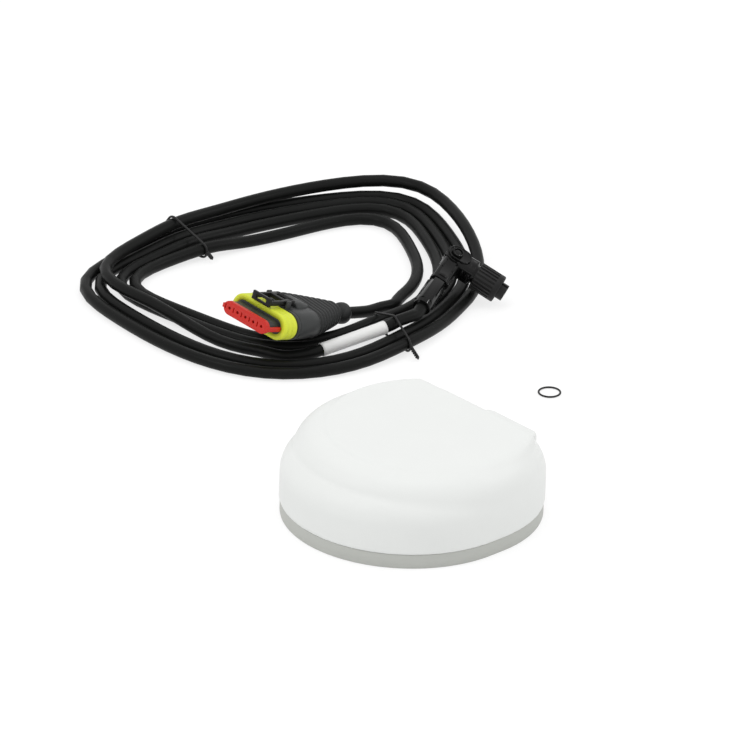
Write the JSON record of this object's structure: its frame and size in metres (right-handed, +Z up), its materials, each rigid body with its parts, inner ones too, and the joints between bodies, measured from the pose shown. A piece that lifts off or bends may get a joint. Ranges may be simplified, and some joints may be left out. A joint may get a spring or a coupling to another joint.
{
  "type": "gnss receiver",
  "caption": "Satellite positioning receiver: low tiered white radome on a grey base with a hooded connector, shown with its coiled cable set and a loose sealing ring",
  "frame": {"origin": "centre of the flat underside of the receiver base, which rests on the surface", "axes": "+Y toward the hooded cable connector, +Z up through the radome, +X to the right when looking along +Y"},
  "size_m": [0.373, 0.3111, 0.0454],
  "materials": {
    "base_grey": "fine moulded grain",
    "radome_white": "fine moulded grain, satin",
    "seal_black": "smooth rubber",
    "steel": "plain stainless",
    "brass": "turned",
    "board_green": "solder mask",
    "tin": "bright sheet",
    "spacer_white": "moulded",
    "copper": "bare copper",
    "ceramic": "fired ceramic",
    "nickel": "nickel plate",
    "insert_black": "moulded",
    "gold": "gold plate",
    "wire_red": "wire jacket",
    "cable_black": "matt cable jacket",
    "label_white": "printed film, left bare",
    "tie_black": "coated wire",
    "connector_black": "gloss moulding",
    "nut_black": "matt moulding",
    "plug_grey": "satin moulding",
    "lock_red": "satin moulding",
    "seal_lime": "silicone",
    "seal_amber": "silicone",
    "wire_grey": "wire jacket",
    "boot_black": "ribbed rubber"
  },
  "bodies": {
    "receiver_and_cable": {"base_housing": "base_grey", "top_cover": "radome_white", "cover_gasket": "seal_black", "cover_screws": "steel", "mount_inserts": "brass", "main_board": "board_green", "board_standoffs": "steel", "board_screws": "steel", "receiver_module": "tin", "shield_can": "tin", "antenna_spacers": "spacer_white", "ground_plane": "copper", "patch_antenna": "ceramic", "feed_pin": "brass", "coax_lead": "cable_black", "socket_shell": "nickel", "socket_gasket": "seal_black", "socket_nut": "nickel", "socket_insert": "insert_black", "socket_pins": "gold", "socket_leads": "wire_red", "board_header": "spacer_white", "seal_ring": "seal_black", "cable_coil": "cable_black", "plug_lead": "cable_black", "connector_lead": "cable_black", "cable_label": "label_white", "tie_rear": "tie_black", "tie_front": "tie_black", "elbow_body": "connector_black", "elbow_cap": "connector_black", "contact_carrier": "insert_black", "carrier_contacts": "gold", "gland_seal": "seal_black", "gland_nut": "connector_black", "plug_housing": "plug_grey", "interface_seal": "seal_lime", "plug_contacts": "nickel", "wire_seals": "seal_amber", "harness_wires": "wire_grey", "plug_boot": "boot_black"},
    "coupling_nut": {"coupling_nut": "nut_black"},
    "latch": {"latch_lever": "nut_black"},
    "lock": {"secondary_lock": "lock_red"}
  },
  "joints": [
    {"name": "coupling_nut_turn", "type": "hinge", "parent": "receiver_and_cable", "child": "coupling_nut", "pos_m": [-0.14594, 0.18883, 0.01179], "axis": [0.7844, 0.442, -0.4352], "continuous": true},
    {"name": "latch_press", "type": "hinge", "parent": "receiver_and_cable", "child": "latch", "pos_m": [-0.1697, 0.06679, 0.03313], "axis": [-0.9942, 0.0366, 0.1007], "range_deg": [0, 8], "stiffness_Nm_per_rad": 0.2, "springref_deg": -1.15},
    {"name": "lock_slide", "type": "slide", "parent": "receiver_and_cable", "child": "lock", "axis": [-0.0084, -0.9636, 0.2672], "range_m": [0, 0.0025]}
  ]
}
